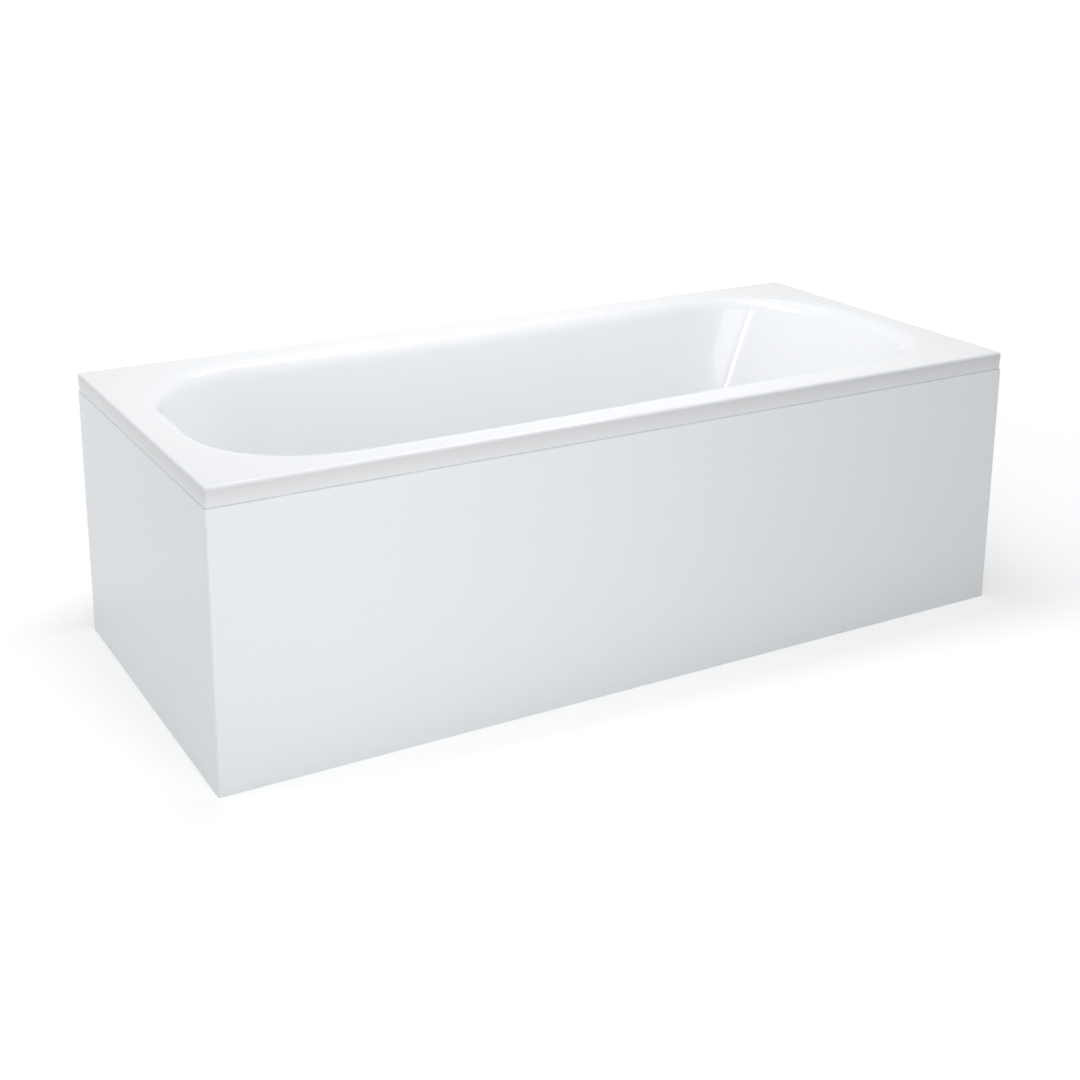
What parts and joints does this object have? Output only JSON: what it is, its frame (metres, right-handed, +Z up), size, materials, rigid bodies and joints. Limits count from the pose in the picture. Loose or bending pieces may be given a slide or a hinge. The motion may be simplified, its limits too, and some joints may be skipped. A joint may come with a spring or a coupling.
{
  "type": "corner bathtub",
  "caption": "White rectangular acrylic bathtub for a room corner, with an L-shaped apron, steel frame on levelling feet, push-open waste, trap and overflow.",
  "frame": {"origin": "on the floor under the middle of the rim", "axes": "+X along the bath towards the sloping head end, +Y to the back wall, +Z up; the apron covers -Y and -X"},
  "size_m": [1.7, 0.75, 0.54],
  "materials": {
    "acrylic": "white sanitary acrylic, high gloss",
    "glass_fibre": "sprayed glass-fibre resin, matt and slightly rough",
    "chipboard": "raw chipboard",
    "foam": "closed-cell foam",
    "steel_frame": "zinc-grey powder coat",
    "black_plastic": "moulded",
    "zinc_steel": "bright zinc plate",
    "spring_steel": "galvanised spring steel",
    "chrome": "polished chrome",
    "gasket_rubber": "soft rubber",
    "white_plastic": "moulded polypropylene",
    "grey_plastic": "moulded polypropylene"
  },
  "bodies": {
    "bath": {"tub_shell": "acrylic", "fibre_backing": "glass_fibre", "base_board": "chipboard", "rim_damping_strips": "foam", "tube_end_caps": "black_plastic", "base_board_screws": "zinc_steel", "foot_lock_nuts": "zinc_steel", "foot_weld_nuts": "zinc_steel", "panel_top_clips": "spring_steel", "panel_clip_screws": "zinc_steel", "panel_floor_clips": "spring_steel", "wall_hangers": "spring_steel", "waste_flange": "chrome", "waste_upper_gasket": "gasket_rubber", "waste_lower_gasket": "gasket_rubber", "waste_body": "white_plastic", "trap_cup": "white_plastic", "trap_ring_nut": "grey_plastic", "outlet_pipe": "white_plastic", "outlet_nut": "grey_plastic", "overflow_gasket": "gasket_rubber", "overflow_elbow": "white_plastic", "overflow_pipe": "white_plastic", "overflow_nuts": "grey_plastic", "overflow_grid": "white_plastic", "overflow_screw": "zinc_steel", "overflow_cover": "chrome", "click_cartridge": "grey_plastic", "rim_rail_front": "steel_frame", "rim_rail_back": "steel_frame", "rim_rail_foot": "steel_frame", "rim_rail_head": "steel_frame", "lower_rail_front": "steel_frame", "lower_rail_back": "steel_frame", "cross_bar_foot": "steel_frame", "cross_bar_middle": "steel_frame", "cross_bar_head": "steel_frame", "upright_front_foot": "steel_frame", "upright_front_middle": "steel_frame", "upright_front_head": "steel_frame", "upright_back_foot": "steel_frame", "upright_back_middle": "steel_frame", "upright_back_head": "steel_frame"},
    "plug": {"plug_cap": "chrome", "plug_seal": "gasket_rubber", "plug_stem": "white_plastic"},
    "apron": {"l_panel": "acrylic", "panel_battens": "chipboard"},
    "foot_1": {"foot_stud_1": "zinc_steel", "foot_pad_1": "black_plastic"},
    "foot_2": {"foot_stud_2": "zinc_steel", "foot_pad_2": "black_plastic"},
    "foot_3": {"foot_stud_3": "zinc_steel", "foot_pad_3": "black_plastic"},
    "foot_4": {"foot_stud_4": "zinc_steel", "foot_pad_4": "black_plastic"},
    "foot_5": {"foot_stud_5": "zinc_steel", "foot_pad_5": "black_plastic"},
    "foot_6": {"foot_stud_6": "zinc_steel", "foot_pad_6": "black_plastic"}
  },
  "joints": [
    {"name": "plug_lift", "type": "slide", "parent": "bath", "child": "plug", "axis": [0, 0, 1], "range_m": [0, 0.009]},
    {"name": "apron_pull_off", "type": "slide", "parent": "bath", "child": "apron", "axis": [-0.7071, -0.7071, 0], "range_m": [0, 0.2]},
    {"name": "foot_1_level", "type": "slide", "parent": "bath", "child": "foot_1", "axis": [0, 0, -1], "range_m": [0, 0.02]},
    {"name": "foot_2_level", "type": "slide", "parent": "bath", "child": "foot_2", "axis": [0, 0, -1], "range_m": [0, 0.02]},
    {"name": "foot_3_level", "type": "slide", "parent": "bath", "child": "foot_3", "axis": [0, 0, -1], "range_m": [0, 0.02]},
    {"name": "foot_4_level", "type": "slide", "parent": "bath", "child": "foot_4", "axis": [0, 0, -1], "range_m": [0, 0.02]},
    {"name": "foot_5_level", "type": "slide", "parent": "bath", "child": "foot_5", "axis": [0, 0, -1], "range_m": [0, 0.02]},
    {"name": "foot_6_level", "type": "slide", "parent": "bath", "child": "foot_6", "axis": [0, 0, -1], "range_m": [0, 0.02]}
  ]
}
